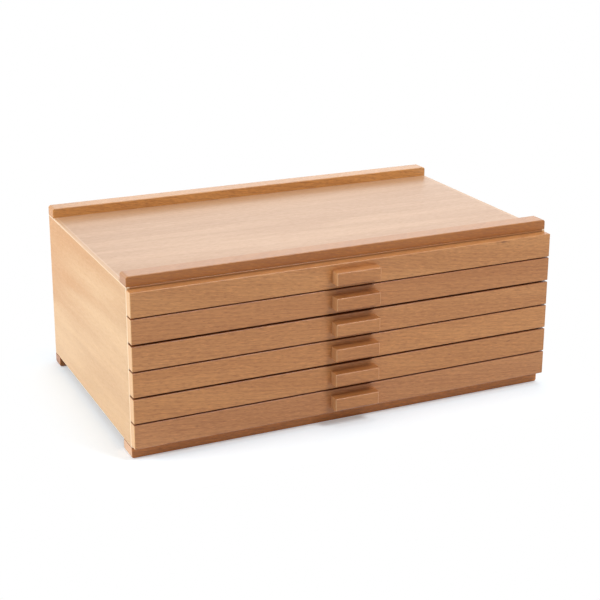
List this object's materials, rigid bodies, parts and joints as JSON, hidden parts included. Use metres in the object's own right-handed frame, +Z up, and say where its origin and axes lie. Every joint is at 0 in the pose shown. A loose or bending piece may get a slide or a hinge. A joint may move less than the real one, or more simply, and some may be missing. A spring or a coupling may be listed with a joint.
{
  "type": "pencil drawer box",
  "caption": "Low wooden box of shallow full-width drawers for pencils and small art supplies, with bar pulls, foot strips and a rail along the front and back of its top.",
  "frame": {"origin": "on the floor, under the middle of the whole box with its pulls", "axes": "+X to the right of someone facing the drawers, along the box's width; +Y from the drawer fronts to the back; +Z up"},
  "size_m": [0.4, 0.254, 0.1587],
  "materials": {
    "case_beech": "light beech, satin clear varnish",
    "sheet_beech": "pale beech veneer, satin clear varnish",
    "back_ply": "plain plywood, thin clear varnish",
    "rail_beech": "darker steamed beech, satin clear varnish",
    "front_beech": "steamed beech, satin clear varnish",
    "pull_beech": "steamed beech, satin clear varnish",
    "tray_wood": "light beech, sanded",
    "tray_ply": "thin plywood, sanded"
  },
  "bodies": {
    "case": {"left_side_panel": "case_beech", "right_side_panel": "case_beech", "top_sheet": "sheet_beech", "base_sheet": "sheet_beech", "back_panel": "back_ply", "front_top_rail": "rail_beech", "rear_top_rail": "rail_beech", "front_foot": "rail_beech", "rear_foot": "rail_beech"},
    "drawer_1": {"drawer_1_front": "front_beech", "drawer_1_left_wall": "tray_wood", "drawer_1_right_wall": "tray_wood", "drawer_1_back": "tray_wood", "drawer_1_bottom": "tray_ply", "drawer_1_pull": "pull_beech"},
    "drawer_2": {"drawer_2_front": "front_beech", "drawer_2_left_wall": "tray_wood", "drawer_2_right_wall": "tray_wood", "drawer_2_back": "tray_wood", "drawer_2_bottom": "tray_ply", "drawer_2_pull": "pull_beech"},
    "drawer_3": {"drawer_3_front": "front_beech", "drawer_3_left_wall": "tray_wood", "drawer_3_right_wall": "tray_wood", "drawer_3_back": "tray_wood", "drawer_3_bottom": "tray_ply", "drawer_3_pull": "pull_beech"},
    "drawer_4": {"drawer_4_front": "front_beech", "drawer_4_left_wall": "tray_wood", "drawer_4_right_wall": "tray_wood", "drawer_4_back": "tray_wood", "drawer_4_bottom": "tray_ply", "drawer_4_pull": "pull_beech"},
    "drawer_5": {"drawer_5_front": "front_beech", "drawer_5_left_wall": "tray_wood", "drawer_5_right_wall": "tray_wood", "drawer_5_back": "tray_wood", "drawer_5_bottom": "tray_ply", "drawer_5_pull": "pull_beech"},
    "drawer_6": {"drawer_6_front": "front_beech", "drawer_6_left_wall": "tray_wood", "drawer_6_right_wall": "tray_wood", "drawer_6_back": "tray_wood", "drawer_6_bottom": "tray_ply", "drawer_6_pull": "pull_beech"}
  },
  "joints": [
    {"name": "drawer_1_slide", "type": "slide", "parent": "case", "child": "drawer_1", "axis": [0, -1, 0], "range_m": [0, 0.185]},
    {"name": "drawer_2_slide", "type": "slide", "parent": "case", "child": "drawer_2", "axis": [0, -1, 0], "range_m": [0, 0.185]},
    {"name": "drawer_3_slide", "type": "slide", "parent": "case", "child": "drawer_3", "axis": [0, -1, 0], "range_m": [0, 0.185]},
    {"name": "drawer_4_slide", "type": "slide", "parent": "case", "child": "drawer_4", "axis": [0, -1, 0], "range_m": [0, 0.185]},
    {"name": "drawer_5_slide", "type": "slide", "parent": "case", "child": "drawer_5", "axis": [0, -1, 0], "range_m": [0, 0.185]},
    {"name": "drawer_6_slide", "type": "slide", "parent": "case", "child": "drawer_6", "axis": [0, -1, 0], "range_m": [0, 0.185]}
  ]
}
